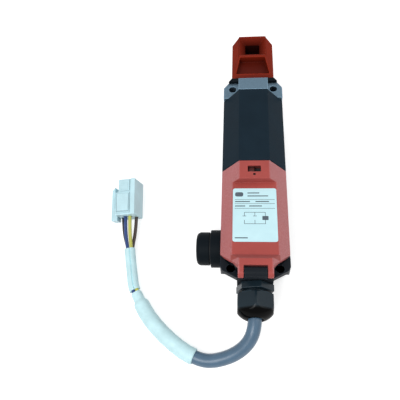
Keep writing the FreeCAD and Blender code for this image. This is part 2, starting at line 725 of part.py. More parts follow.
def contacts():
    """Two fixed contact blocks, the carrier on the slide with its bridges, and terminal screws."""
    span = ("-contact_low", "-contact_high")
    for label, low, high in (("contact_block_left", "-contact_outer", "-contact_inner"),
                             ("contact_block_right", "contact_inner", "contact_outer")):
        block = new_body(label)
        pad(block, "Z", "floor_wall", "contact_height", rectangle(low, high, *span))
        under = rectangle("-(slide_window_width/2)", "slide_window_width/2", "-contact_low", "-contact_high")
        cut(block, "Z", "floor_wall", "floor_wall + slide_window_height", under)
    carrier = new_body("contact_carrier")
    deck = "(contact_height + running_gap)"
    low_end, high_end = "-(contact_low - slide_travel - 1)", "-(contact_high + 1)"
    pad(carrier, "Z", "floor_wall + bar_lift + bar_thick", "carrier_top",
        band("carrier_width/2", low_end, high_end))
    rows = [f"-(contact_high + 4 + {step}*bridge_pitch)" for step in range(2)]
    slots = [band("carrier_width/2 + 1", f"{row} - bridge_length", row) for row in rows]
    cut(carrier, "Z", deck, f"{deck} + bridge_thick", *slots)
    bridges = new_body("contact_bridges")
    pad(bridges, "Z", deck, f"{deck} + bridge_thick",
        *[band("bridge_width/2", f"{row} - bridge_length", row) for row in rows])
    screws = new_body("terminal_screws")
    places = [(side, f"-(contact_high + 5 + {step}*bridge_pitch)")
              for side in ("screw_place", "-screw_place") for step in range(3)]
    pad(screws, "Z", "contact_height", "contact_height + screw_rise",
        *[circle("screw_head", x, y) for x, y in places])
    pad(screws, "Z", "contact_height - screw_depth", "contact_height",
        *[circle("screw_shank", x, y) for x, y in places])
    cut(screws, "Z", "contact_height + screw_rise/2", "contact_height + screw_rise",
        *[rectangle(f"{x} - screw_head/2", f"{x} + screw_head/2", f"{y} - screw_slot/2",
                    f"{y} + screw_slot/2") for x, y in places])
    for label in ("contact_block_left", "contact_block_right"):
        block = [piece for piece in pieces if piece.Label == label][0]
        mine = [(x, y) for x, y in places if x.startswith("-") == label.endswith("left")]
        cut(block, "Z", "contact_height - screw_depth", "contact_height",
            *[circle("screw_shank", x, y) for x, y in mine])


def gland():
    """Cable gland on the tail: threaded body, domed nut and rubber seal."""
    here = ("0", "port_height")
    inside = "-(cover_tail - lip - wall)"
    collar_end = "-(base_tail + gland_collar)"
    nut_start = "-(base_tail + gland_collar + gland_gap)"
    hex_end = "-(base_tail + gland_collar + gland_gap + gland_hex)"
    dome_end = f"({hex_end} - gland_dome)"
    thread_end = f"({hex_end} + gland_gap)"
    body = new_body("gland_body")
    pad(body, "Y", collar_end, "-base_tail", hexagon("gland_collar_flats", GLAND_BODY_TURN), centre=here)
    pad(body, "Y", "-base_tail", inside, circle("gland_thread"), centre=here)
    pad(body, "Y", thread_end, collar_end, circle("gland_thread"), centre=here)
    cut(body, "Y", thread_end, inside, circle("cable_diameter + 2*running_gap"), centre=here)
    nut = new_body("gland_nut")
    pad(nut, "Y", hex_end, nut_start, hexagon("gland_flats", GLAND_NUT_TURN), centre=here)
    dome = [(hex_end, "0"), (hex_end, "gland_flats/2"), (f"{hex_end} - gland_dome/3", "gland_flats/2"),
            (f"{hex_end} - gland_dome*0.75", "gland_flats/2 - gland_round/3"),
            (dome_end, "gland_flats/2 - gland_round"), (dome_end, "0")]
    revolve(nut, "Y", ("0", "0", "port_height"), dome)
    cut(nut, "Y", hex_end, nut_start, circle("gland_thread"), centre=here)
    cut(nut, "Y", dome_end, hex_end, circle("gland_mouth"), centre=here)
    cut(nut, "Y", f"{hex_end} - gland_dome/2", hex_end, circle("gland_seal_outer"), centre=here)
    seal = new_body("gland_seal")
    pad(seal, "Y", f"{hex_end} - gland_dome/2", thread_end, circle("gland_seal_outer"),
        circle("cable_diameter"), centre=here)


def side_plug():
    """The blanked side entry: threaded collar, sealing ring and round cap."""
    here = ("-plug_place", "port_height")
    face, joint = f"-{HALF}", f"-({HALF} + plug_collar_length)"
    collar = new_body("side_collar")
    pad(collar, "X", joint, face, circle("plug_collar"), circle("plug_bore"), centre=here)
    pad(collar, "X", face, f"-({INNER} - plug_boss)", circle("plug_thread"), circle("plug_bore"), centre=here)
    seal = new_body("side_seal")
    seal_face = f"({joint} - plug_seal)"
    pad(seal, "X", seal_face, joint, circle("plug_cap - 2*plug_seal"), circle("plug_bore"), centre=here)
    cap = new_body("side_cap")
    end = f"({seal_face} - plug_cap_length)"
    rim = pad(cap, "X", end, seal_face, circle("plug_cap"), centre=here)
    fillet(cap, rim, "plug_round", lambda edge, middle: middle.x < number(end) + 0.1)
    pad(cap, "X", seal_face, face, circle("plug_bore"), centre=here)


def connector():
    """The plug on the end of the wires: housing, side latch, wire lock and terminals. It is
    modelled flat about the middle of its underside, then tipped up on its ramp. Returns the
    bottom of each wire entry and a place in line with it, outside its mouth."""
    half, end, mid = "(plug_width/2)", "(plug_length/2)", "(plug_height/2)"
    housing = new_body("connector_housing")
    step = f"-({half} - plug_step)"
    sides = [(half, minus(end)), (half, end), (step, end), (step, "plug_split"), (minus(half), "plug_split"),
             (minus(half), minus(end))]
    pad(housing, "Z", "0", "plug_height", outline(sides))
    pad(housing, "Z", "plug_height", "plug_height + plug_rail_rise",
        rectangle(f"{half} - plug_rail", half, minus(end), end))
    ramp = [(f"{end} - plug_ramp", "0"), (f"{end} - plug_ramp_flat", "-plug_ramp_drop"),
            (end, "-plug_ramp_drop"), (end, "0")]
    pad(housing, "X", "-plug_width/4", "plug_width/4", outline(ramp))
    low, high = f"{mid} - plug_entry_up", f"{mid} + plug_entry_up"
    entries = [("-plug_entry_outer", low), ("-plug_entry_inner", high), ("plug_entry_inner", high),
               ("plug_entry_outer", low)]
    floor = f"(plug_entry_depth - {end})"
    cut(housing, "Y", minus(end), floor, *[circle("wire_diameter + running_gap", x, z) for x, z in entries])
    sockets = [(f"plug_socket_side + {across}*plug_socket_pitch/2", f"{mid} + {up}*plug_socket_pitch/2")
               for across in (-1, 1) for up in (-1, 1)]
    cut(housing, "Y", f"{end} - plug_socket_depth", end,
        *[rectangle(f"{x} - plug_socket/2", f"{x} + plug_socket/2", f"{z} - plug_socket/2",
                    f"{z} + plug_socket/2") for x, z in sockets])
    terminals = new_body("connector_terminals")
    pad(terminals, "Y", f"{end} - plug_socket_depth", f"{end} - plug_terminal",
        *[circle("plug_terminal", x, z) for x, z in sockets])
    latch = new_body("connector_latch")
    inner, outer = f"-({half} + plug_latch_gap)", f"-({half} + plug_latch_gap + plug_latch_thick)"
    foot, tail = f"(plug_latch_foot - {end})", f"(-{end} - plug_latch_tail)"
    lever = [(minus(half), minus(end)), (minus(half), foot), (inner, foot), (inner, "plug_latch_reach"),
             (outer, "plug_latch_reach - plug_latch_thick"), (outer, tail), (minus(half), tail)]
    pad(latch, "Z", f"{mid} - plug_latch_width/2", f"{mid} + plug_latch_width/2", outline(lever))
    lock = new_body("connector_lock")
    plate = rectangle(f"plug_lock_edge - {half}", f"{half} - plug_rail - plug_lock_edge",
                      f"2*plug_lock_edge - {end}", "plug_split - plug_lock_edge")
    pad(lock, "Z", "plug_height", "plug_height + plug_lock_rise", plate)
    # It leans a little on the surface, tips up at its far end and rolls towards the latch.
    group = (housing, terminals, latch, lock)
    turns = [FreeCAD.Rotation(axis, number(angle)) for axis, angle in (
        (Vector(0, 0, 1), "plug_lean"), (Vector(1, 0, 0), "plug_tip"), (Vector(0, -1, 0), "plug_roll"))]
    tilt = turns[0].multiply(turns[1]).multiply(turns[2])
    place = Vector(number("-plug_across"), number("-plug_along"), 0)
    for piece in group:
        piece.Placement = FreeCAD.Placement(place, tilt)
    doc.recompute()
    rest = min(piece.Shape.BoundBox.ZMin for piece in group)
    for piece in group:
        piece.Placement = FreeCAD.Placement(place - Vector(0, 0, rest), tilt)
    outside = f"({floor} - plug_entry_depth - plug_lead_straight)"
    return [[housing.Placement.multVec(Vector(number(x), number(y), number(z))) for y in (outside, floor)]
            for x, z in entries]


ARC_SHARE = 0.45


def corner_radii(points):
    """The radius at each inner point of a route: as large as the two runs beside it allow."""
    radii = []
    for before, corner, after in zip(points, points[1:], points[2:]):
        half_turn = (math.pi - (before - corner).getAngle(after - corner))/2
        reach = ARC_SHARE*min((before - corner).Length, (after - corner).Length)
        radii.append(reach/math.tan(half_turn))
    return radii


def route(points, radii):
    """Straight runs joined by tangent arcs."""
    edges, start = [], points[0]
    for before, corner, after, radius in zip(points, points[1:], points[2:], radii):
        back, ahead = (before - corner).normalize(), (after - corner).normalize()
        half_turn = (math.pi - back.getAngle(ahead))/2
        reach = radius*math.tan(half_turn)
        middle = corner + (back + ahead).normalize()*(radius/math.cos(half_turn) - radius)
        arc = Part.Arc(corner + back*reach, middle, corner + ahead*reach)
        edges += [Part.LineSegment(start, corner + back*reach).toShape(), arc.toShape()]
        start = corner + ahead*reach
    edges.append(Part.LineSegment(start, points[-1]).toShape())
    return Part.Wire(edges)


def tube(points, diameter, radii):
    """A round cord along a route. Its volume has to be its section times its length."""
    path = route(points, radii)
    ring = Part.Circle(points[0], points[1] - points[0], diameter/2).toShape()
    solid = path.makePipeShell([Part.Wire([ring])], True, False)
    expected = math.pi*diameter**2/4*path.Length
    if abs(solid.Volume - expected) > 0.01*expected:
        raise RuntimeError(f"a tube holds {solid.Volume:.1f}, not {expected:.1f}")
    print("cord", round(diameter, 1), "long", round(path.Length, 1), "radii", [round(r, 1) for r in radii])
    return solid


def soft_piece(label, shape):
    piece = doc.addObject("Part::Feature", label)
    piece.Label = label
    piece.Shape = shape
    pieces.append(piece)


# The cable leaves the gland and drops to the surface. A sleeve covers it on its way round to the
# left and ends in a short neck, where the wires go on to the connector.
CABLE_ROUTE = [Vector(0, -91, 22), Vector(-0.1, -101.4, 21.7), Vector(-3.9, -110, 15.8),
               Vector(-12.5, -115.8, 9.8), Vector(-24, -118.9, 6), Vector(-32.5, -118.9, 5.3),
               Vector(-37.75, -116.75, 5.3)]
SLEEVE_ROUTE = [Vector(-37.75, -116.75, 5.3), Vector(-43, -114.6, 5.3), Vector(-51.5, -108.9, 5.3),
                Vector(-60.3, -101.5, 5.3), Vector(-69, -92.4, 5.3), Vector(-75.4, -82.5, 5.3)]
WIRE_ROUTE = [Vector(-78.9, -76.2, 5.3), Vector(-81.3, -71.9, 5.3), Vector(-83.2, -63, 5),
              Vector(-85.2, -53.8, 5.1), Vector(-86.9, -44.5, 5.7)]
# Each wire's place in the bundle: across it, as seen towards the connector, and up.
WIRES = {"wire_black": (-1, -1), "wire_blue": (-1, 1), "wire_yellow": (1, 1), "wire_brown": (1, -1)}


def beside(points, across, lift):
    """The route moved sideways and up by a fixed distance."""
    moved = []
    for place, point in enumerate(points):
        ahead = points[min(place + 1, len(points) - 1)] - points[max(place - 1, 0)]
        side = Vector(ahead.y, -ahead.x, 0).normalize()
        moved.append(point + side*across + Vector(0, 0, lift))
    return moved


def cable(leads):
    """The jacket, the white sleeve with its neck, the four wires and the sleeve over them."""
    soft_piece("cable_jacket", tube(CABLE_ROUTE, number("cable_diameter"), corner_radii(CABLE_ROUTE)))
    sleeve = tube(SLEEVE_ROUTE, number("sleeve_outer"), corner_radii(SLEEVE_ROUTE))
    neck = tube([SLEEVE_ROUTE[-1], WIRE_ROUTE[0]], number("neck_sleeve_outer"), [])
    soft_piece("main_sleeve", sleeve.fuse(neck).removeSplitter())
    spread = number("wire_spread/2")
    for (label, (across, up)), lead in zip(WIRES.items(), leads):
        points = beside(WIRE_ROUTE, across*spread, up*spread) + lead
        soft_piece(label, tube(points, number("wire_diameter"), corner_radii(points)))
    ahead = (WIRE_ROUTE[1] - WIRE_ROUTE[0]).normalize()
    covered = [WIRE_ROUTE[0] + ahead*number("upper_sleeve_gap")] + WIRE_ROUTE[1:]
    outer, radii = number("upper_sleeve_outer"), corner_radii(WIRE_ROUTE)
    bore = tube(covered, outer - 2*number("upper_sleeve_wall"), radii)
    soft_piece("upper_sleeve", tube(covered, outer, radii).cut(bore))


def check_document():
    """Stops at a feature that failed, a cut that removed nothing or a shape that isn't sound."""
    doc.recompute()
    for item in doc.Objects:
        if "Invalid" in item.State or "Error" in item.State:
            raise RuntimeError(f"{item.Name} failed: {item.State}")
        if item.TypeId == "PartDesign::Pocket" and item.Shape.Volume > item.BaseFeature.Shape.Volume - 1e-6:
            raise RuntimeError(f"{item.Name} cut nothing")
    for piece in pieces:
        if piece.Shape.isNull() or not piece.Shape.isValid():
            raise RuntimeError(f"{piece.Label} has no sound shape")


for make in (base_housing, front_cover, cover_gasket, hinge_pin, release_slider, upper_cover, mounting_frame,
             neck_collar, head_housing, key_cam, switching_slide, solenoid, contacts, gland, side_plug):
    make()
cable(connector())
check_document()
os.makedirs("parts", exist_ok=True)
for piece in pieces:
    piece.Shape.exportStep(f"parts/{piece.Label}.step")
    print(piece.Label, len(piece.Shape.Solids), round(piece.Shape.Volume, 1))
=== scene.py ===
import json
import math

import bmesh
import bpy
from mathutils import Matrix, Vector

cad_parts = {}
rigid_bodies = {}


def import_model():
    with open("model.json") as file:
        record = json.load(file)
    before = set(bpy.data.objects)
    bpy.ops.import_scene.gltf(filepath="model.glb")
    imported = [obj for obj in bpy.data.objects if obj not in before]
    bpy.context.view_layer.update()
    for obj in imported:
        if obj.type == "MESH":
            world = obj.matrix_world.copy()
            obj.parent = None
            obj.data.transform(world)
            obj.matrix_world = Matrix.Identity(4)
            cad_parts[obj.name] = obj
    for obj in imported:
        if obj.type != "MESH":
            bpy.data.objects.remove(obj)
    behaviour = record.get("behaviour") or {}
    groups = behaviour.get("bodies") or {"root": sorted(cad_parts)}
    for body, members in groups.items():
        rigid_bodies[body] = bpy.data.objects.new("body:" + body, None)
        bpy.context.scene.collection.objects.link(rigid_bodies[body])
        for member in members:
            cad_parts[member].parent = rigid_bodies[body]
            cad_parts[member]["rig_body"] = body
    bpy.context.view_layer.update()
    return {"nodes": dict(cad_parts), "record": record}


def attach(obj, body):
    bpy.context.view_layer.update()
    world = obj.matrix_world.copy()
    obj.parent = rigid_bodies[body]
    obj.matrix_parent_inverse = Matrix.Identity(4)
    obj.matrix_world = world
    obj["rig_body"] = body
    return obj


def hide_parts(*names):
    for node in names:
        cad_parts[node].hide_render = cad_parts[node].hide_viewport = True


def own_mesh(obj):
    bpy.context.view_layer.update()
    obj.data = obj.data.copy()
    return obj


# Looks of the guard interlock switch. It lies on its mounting face: X runs across it, Y towards
# the head and Z to the front. Lengths are written in millimetres and multiplied by MM.

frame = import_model()
MM = 0.001
nodes = frame["nodes"]


def mm(x, y, z):
    return Vector((x, y, z))*MM


# Materials


class Shade:
    """A value in a material's node tree. Sums written on it add the nodes that work them out."""

    def __init__(self, paint, socket):
        self.paint, self.socket = paint, socket

    def math(self, operation, *values):
        return self.paint.node("ShaderNodeMath", {"operation": operation}, *values)

    def __add__(self, other):
        return self.math("ADD", self, other)

    def __sub__(self, other):
        return self.math("SUBTRACT", self, other)

    def __rsub__(self, other):
        return self.math("SUBTRACT", other, self)

    def __mul__(self, other):
        return self.math("MULTIPLY", self, other)

    def __pow__(self, other):
        return self.math("POWER", self, other)

    __radd__ = __add__
    __rmul__ = __mul__

    def above(self, low, high):
        """0 below `low`, 1 above `high` and even between them."""
        return self.paint.node("ShaderNodeMapRange", {"clamp": True}, self, low, high, 0.0, 1.0)

    def within(self, middle, reach):
        """1 where the value is closer to `middle` than `reach`, 0 elsewhere."""
        return self.math("LESS_THAN", (self - middle)**2, reach**2)


class Paint:
    """One material. Its patterns lie in the object's own space, in metres."""

    def __init__(self, name, roughness=0.5, **settings):
        self.material = bpy.data.materials.new(name)
        self.material.use_nodes = True
        self.tree = self.material.node_tree
        self.shader = self.tree.nodes["Principled BSDF"]
        self.place = self.node("ShaderNodeTexCoord", {}, out="Object")
        self.set(Roughness=roughness, **settings)

    def node(self, kind, settings, *inputs, out=0, **named):
        """A new node with its settings, then its inputs by place or by name. Returns one output."""
        made = self.tree.nodes.new(kind)
        for key, value in settings.items():
            setattr(made, key, value)
        for place, value in enumerate(inputs):
            self.feed(made.inputs[place], value)
        for name, value in named.items():
            self.feed(made.inputs[name.replace("_", " ")], value)
        return Shade(self, made.outputs[out])

    def feed(self, socket, value):
        if isinstance(value, Shade):
            self.tree.links.new(value.socket, socket)
        elif hasattr(value, "__len__") and len(value) == 3 and len(socket.default_value) == 4:
            socket.default_value = (*value, 1)
        else:
            socket.default_value = value

    def set(self, **inputs):
        for name, value in inputs.items():
            self.feed(self.shader.inputs[name.replace("_", " ")], value)

    def noise(self, size, detail=2, stretch=(1, 1, 1)):
        """Cloudy values about 0.5, with patches of `size` millimetres."""
        scaled = self.node("ShaderNodeMapping", {}, self.place, Scale=stretch)
        return self.node("ShaderNodeTexNoise", {}, Vector=scaled, Scale=1/(size*MM), Detail=detail)

    def across_up(self):
        """The place's distance from the middle plane, its Y and its Z, in millimetres."""
        parts = self.tree.nodes.new("ShaderNodeSeparateXYZ")
        self.tree.links.new(self.place.socket, parts.inputs[0])
        x, y, z = [Shade(self, parts.outputs[axis])*(1/MM) for axis in "XYZ"]
        return x.math("ABSOLUTE", x), y, z

    def mix(self, amount, low, high):
        """The colour `low` where `amount` is 0 and `high` where it is 1."""
        made = self.tree.nodes.new("ShaderNodeMix")
        made.data_type = "RGBA"
        factor, first, second = made.inputs["Factor"], made.inputs[6], made.inputs[7]
        for socket, value in ((factor, amount), (first, low), (second, high)):
            self.feed(socket, value)
        return Shade(self, made.outputs[2])

    def rounded_normal(self, width):
        """The surface's direction as if its edges were rounded by `width` millimetres."""
        return self.node("ShaderNodeBevel", {"samples": 6}, Radius=width*MM)

    def edges(self, width):
        """1 on the object's sharp edges, 0 on its faces."""
        flat = self.node("ShaderNodeNewGeometry", {}, out="Normal")
        facing = self.node("ShaderNodeVectorMath", {"operation": "DOT_PRODUCT"},
                           self.rounded_normal(width), flat, out="Value")
        return (1 - facing).above(0.01, 0.2)

    def hide(self, where):
        """Painted shade: plain black, without any gloss, where `where` is 1."""
        dark = self.node("ShaderNodeBsdfPrincipled", {}, Base_Color=(0, 0, 0), Roughness=1.0,
                         Specular_IOR_Level=0.0)
        own = Shade(self, self.shader.outputs[0])
        mixed = self.node("ShaderNodeMixShader", {}, where, own, dark)
        self.tree.links.new(mixed.socket, self.tree.nodes["Material Output"].inputs["Surface"])

    def bump(self, height, depth):
        """Relief of `depth` millimetres, on edges that look rounded."""
        self.set(Normal=self.node("ShaderNodeBump", {}, Height=height, Distance=depth*MM,
                                  Normal=self.rounded_normal(0.25), out="Normal"))

    def crevices(self, reach, colour, depth):
        """Painted shade: the colour, darker by the share `depth` in corners and gaps narrower than
        `reach`.
        """
        open_share = self.node("ShaderNodeAmbientOcclusion", {"samples": 8, "only_local": False},
                               Distance=reach*MM, out="AO")
        shaded = self.mix(depth, colour, (0, 0, 0))
        return self.mix(open_share.above(0.25, 0.85), shaded, colour)


def lighter(colour, by):
    return tuple(min(1, part*by) for part in colour)


def moulded(name, colour, roughness=0.45, grain=0.35, relief=0.02, wear_and_highlight=1.35, shine=0.4,
            haze=0.0, gaps=0.5, shading=None, polish=None):
    """Moulded plastic with a fine eroded texture, faint flow marks, paler edges that are partly
    wear and partly a painted highlight, and painted shade in corners and gaps. `shading` takes the
    paint and its colour and returns the colour with the part's painted light and shade, and
    `polish` gives the share of the roughness that is left."""
    paint = Paint(name, Specular_IOR_Level=shine, Sheen_Weight=haze, Sheen_Roughness=0.4,
                  Sheen_Tint=(0.8, 0.85, 1))
    cloud, fine = paint.noise(14, 3), paint.noise(grain, 2)
    body = paint.mix(cloud.above(0.3, 0.7), lighter(colour, 0.9), lighter(colour, 1.08))
    speck = paint.mix(fine.above(0.55, 0.75)*0.25, body, lighter(colour, 1.3))
    # Paler edges: partly wear, partly a painted highlight.
    paled = paint.mix(paint.edges(1.1)*0.6, speck, lighter(colour, wear_and_highlight))
    # Painted shade in corners and gaps.
    crevice_shaded = paint.crevices(1.6, paled, gaps)
    dull = roughness - 0.08 + cloud*0.1 + fine*0.06
    paint.set(Base_Color=shading(paint, crevice_shaded) if shading else crevice_shaded,
              Roughness=dull*polish(paint) if polish else dull)
    paint.bump(fine, relief)
    return paint.material


def metal(name, colour, roughness=0.35, grain=0.5, relief=0.02, brushed=(1, 1, 1), edge=1.6):
    """Metal with the marks of its making. `brushed` stretches them along an axis."""
    paint = Paint(name, Metallic=1.0)
    marks, cloud = paint.noise(grain, 4, brushed), paint.noise(9, 3)
    body = paint.mix(marks.above(0.35, 0.65), lighter(colour, 0.75), lighter(colour, 1.3))
    # Paler edges: a painted highlight.
    paint.set(Base_Color=paint.mix(paint.edges(1.0)*0.8, body, lighter(colour, edge)),
              Roughness=roughness - 0.1 + cloud*0.14 + marks*0.08)
    paint.bump(marks, relief)
    return paint.material


def soft_skin(name, colour, roughness=0.4, shine=0.5):
    """A smooth flexible sheath with a faint waviness."""
    paint = Paint(name, Specular_IOR_Level=shine)
    cloud, fine = paint.noise(6, 3), paint.noise(1.2, 2)
    paint.set(Base_Color=paint.mix(cloud.above(0.35, 0.7), lighter(colour, 0.93),
                                   lighter(colour, 1.05)),
              Roughness=roughness - 0.06 + fine*0.12)
    paint.bump(fine, 0.01)
    return paint.material


def winding():
    """Taped copper winding with the ridges of its turns."""
    ridges = 2.2/6.28
    paint = Paint("winding", 0.4)
    turns = paint.node("ShaderNodeTexWave", {"bands_direction": "Z"}, Vector=paint.place,
                       Scale=ridges/MM)
    paint.set(Base_Color=paint.mix(turns, (0.16, 0.04, 0.015), (0.42, 0.14, 0.05)))
    paint.bump(turns, 0.1)
    return paint.material


def printed():
    """Label stock with a faint cast and a satin film."""
    paint = Paint("label_stock", 0.35, Specular_IOR_Level=0.4)
    cast = paint.noise(8, 3).above(0.3, 0.7)
    paint.set(Base_Color=paint.mix(cast, (0.58, 0.85, 0.92), (0.62, 0.90, 0.96)))
    return paint.material


# Painted light and shade over one part. Places are distances from the middle plane, along Y and up
# Z.

FUNNEL_HALF, FUNNEL_END, FUNNEL_RIM = 12.7, 123.2, 42.2
SLOT_HALF, SLOT_START, SLOT_END, SLOT_TOP = 5.7, 104, 124, 37.2


def head_shading(paint, colour):
    """Painted shade that gathers in the head's funnel, slot and scoop."""
    across, along, up = paint.across_up()
    inside = ((FUNNEL_HALF - across).above(0, 0.4)*(FUNNEL_END - along).above(0, 0.3)
              * (FUNNEL_RIM - up).above(0, 5.6))
    slot = ((SLOT_HALF - across).above(0, 0.2)*(along - SLOT_START).above(0, 1)
            * (SLOT_TOP - up).above(0, 0.8)*(SLOT_END - along).above(0, 1))
    deep = paint.mix(inside*0.8, colour, (0.05, 0.004, 0.002))
    return paint.mix(slot, deep, (0.014, 0.0015, 0.001))


# The cover's flanks lie in the planes up + FLANK_SLOPE*across = FLANK_PLANE.
FLANK_SLOPE, FLANK_PLANE = 1.174, 61.74
RAMP_HEAD, RAMP_FOOT, RAMP_HALF = -64.6, -68.7, 15
WINDOW_PLACE, WINDOW_REACH, WINDOW_HALF, WINDOW_RIM = -6.4, 2.74, 4.7, 49.3
DIMPLE_PLACE, DIMPLE_REACH, DIMPLE_RIM = -10.7, 1.1, 49.9


def cover_shading(paint, colour):
    """Painted light and shade: a paler, speckled painted sheen on the flanks, a deeper red painted
    shade on the ramp at the foot of the recess, and painted shadow in the window and the dimple."""
    across, along, up = paint.across_up()
    flank = (up + across*FLANK_SLOPE - FLANK_PLANE).above(-0.9, -0.2)
    speck = paint.noise(0.7, 2).above(0.4, 0.7)
    # A paler painted sheen on the flanks, speckled.
    paled = paint.mix(flank*(0.35 + speck*0.5), colour, (0.50, 0.20, 0.21))
    # Painted shade: a deeper red on the ramp.
    ramp = ((RAMP_HEAD - along).above(0, 0.5)*(along - RAMP_FOOT).above(0, 0.5)
            * (RAMP_HALF - across).above(0, 0.5))
    window = (WINDOW_HALF - across).above(0, 0.2)*along.within(WINDOW_PLACE, WINDOW_REACH)
    dimple = (DIMPLE_REACH - across).above(0, 0.1)*along.within(DIMPLE_PLACE, DIMPLE_REACH)
    shadow = (window*(WINDOW_RIM - up).above(0, 0.8)*0.85
              + dimple*(DIMPLE_RIM - up).above(0, 0.3))
    return paint.mix(shadow, paint.mix(ramp*0.9, paled, (0.30, 0.035, 0.022)),
                     (0.02, 0.003, 0.003))


HOLE_ACROSS, HOLE_ALONG, HOLE_REACH, EAR_TOP = 15, -70, 3, 35.7


def ear_shading(paint, colour):
    """Painted shade: plain black in the depths of the lower mounting holes."""
    across, along, up = paint.across_up()
    reach = (across - HOLE_ACROSS)**2 + (along - HOLE_ALONG)**2
    paint.hide((HOLE_REACH**2 - reach).above(0, 1.2)*(EAR_TOP - up).above(0, 0.5))
    return colour


def on_dome(paint):
    """1 on the gland nut's dome, 0 on its flats."""
    dome_start = -91.6
    return (dome_start - paint.across_up()[1]).above(0, 1.6)


def nut_shading(paint, colour):
    """Painted shade on the gland's dome: a colour near black, and plain black mixed over its gloss,
    so it is darker than its flats.
    """
    dome = on_dome(paint)
    paint.hide(dome*0.7)
    return paint.mix(dome, colour, (0.001, 0.001, 0.0015))


def nut_polish(paint):
    """The dome is smoother, too."""
    return 1 - on_dome(paint)*0.65


# One finish for each material slot of the record, and what differs from its slot by eye

finishes = {
    "base_plastic": moulded("base_plastic", (0.006, 0.009, 0.013), 0.5, wear_and_highlight=3.5, shine=0.12,
                            shading=ear_shading),
    "cover_red": moulded("cover_red", (0.375, 0.060, 0.050), 0.5, wear_and_highlight=1.3, haze=0.12,
                         shading=cover_shading),
    "slate_plastic": moulded("slate_plastic", (0.011, 0.022, 0.033), 0.6, relief=0.03, wear_and_highlight=3,
                             shine=0.04),
    "head_red": moulded("head_red", (0.208, 0.0175, 0.006), 0.48, wear_and_highlight=2.8, shine=0.09,
                        shading=head_shading),
    "cast_metal": metal("cast_metal", (0.13, 0.20, 0.26), 0.5, 0.35, 0.03, edge=3.2),
    "steel": metal("steel", (0.5, 0.5, 0.52), 0.3, 0.3, 0.01, (1, 0.1, 1)),
    "brass": metal("brass", (0.72, 0.5, 0.2), 0.3, 0.4, 0.01),
    "bronze": metal("bronze", (0.45, 0.28, 0.13), 0.45, 0.3, 0.02),
    "winding": winding(),
    "bobbin_plastic": moulded("bobbin_plastic", (0.6, 0.6, 0.54)),
    "contact_plastic": moulded("contact_plastic", (0.05, 0.05, 0.055)),
    "carrier_plastic": moulded("carrier_plastic", (0.20, 0.18, 0.14)),
    "gland_plastic": moulded("gland_plastic", (0.009, 0.020, 0.029), 0.32, wear_and_highlight=3.5, shine=0.2,
                             shading=nut_shading, polish=nut_polish),
    "rubber": soft_skin("rubber", (0.015, 0.015, 0.017), 0.6, shine=0.3),
    "nylon": moulded("nylon", (0.56, 0.80, 0.87), 0.35, grain=0.6, relief=0.008, wear_and_highlight=1.12,
                     gaps=0.4),
    "cable_grey": soft_skin("cable_grey", (0.066, 0.134, 0.212), 0.33, shine=0.55),
    "sleeve_white": soft_skin("sleeve_white", (0.61, 0.88, 0.93), 0.5),
    "wire_black": soft_skin("wire_black", (0.008, 0.008, 0.012), 0.35),
    "wire_blue": soft_skin("wire_blue", (0.015, 0.05, 0.20), 0.35),
    "wire_yellow": soft_skin("wire_yellow", (0.55, 0.55, 0.12), 0.35),
    "wire_brown": soft_skin("wire_brown", (0.05, 0.03, 0.025), 0.35),
}
label_stock = printed()
label_ink = soft_skin("label_ink", (0.10, 0.13, 0.16), 0.5, shine=0.2)
plug_plastic = moulded("plug_plastic", (0.004, 0.007, 0.010), 0.5, wear_and_highlight=2.5, shine=0.06)
# A darker copy of steel for the hinge pin: painted shade in its gap, in place of its glint.
shaded_steel = metal("shaded_steel", (0.05, 0.05, 0.055), 0.5, 0.3, 0.01)
LOOKS = {"side_cap": plug_plastic, "side_collar": plug_plastic, "neck_collar": plug_plastic,
         "hinge_pin": shaded_steel}
node_slots = {part["node"]: part["material_slot"] for part in frame["record"]["subparts"]}


def painted(piece, node):
    """The piece with the finish of a construction node."""
    slot = node_slots[node]
    piece.data.materials.clear()
    piece.data.materials.append(LOOKS.get(node, finishes[slot]))
    return piece


def body_of(node):
    return nodes[node].get("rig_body")


# Pieces that keep the construction's shape


def new_piece(name, mesh):
    piece = bpy.data.objects.new(name, mesh)
    bpy.context.scene.collection.objects.link(piece)
    return piece


def stands_for(piece, node):
    """Shows the piece in place of a construction node, on the same body."""
    painted(piece, node)
    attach(piece, body_of(node))
    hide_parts(node)
    return piece


def applied(piece):
    """The piece's modifiers worked into its mesh."""
    bpy.context.view_layer.update()
    graph = bpy.context.evaluated_depsgraph_get()
    mesh = bpy.data.meshes.new_from_object(piece.evaluated_get(graph))
    piece.modifiers.clear()
    piece.data = mesh
    return piece


def joined_copy(node):
    """A copy of a construction node's mesh and its faces for editing, joined along their edges."""
    mesh = nodes[node].data.copy()
    work = bmesh.new()
    work.from_mesh(mesh)
    bmesh.ops.remove_doubles(work, verts=work.verts, dist=0.002*MM)
    return mesh, work


def written(work, mesh):
    work.to_mesh(mesh)
    work.free()
    return mesh


def smooth_to(mesh, degrees):
    """Smooth faces, with an edge left sharp where it bends by more than `degrees`."""
    mesh.shade_smooth()
    mesh.set_sharp_from_angle(angle=math.radians(degrees))


def plane_of(face):
    """A key that all faces in one plane share."""
    height = face.normal.dot(face.verts[0].co)
    return (*[round(part, 2) for part in face.normal], round(height/(0.02*MM)))


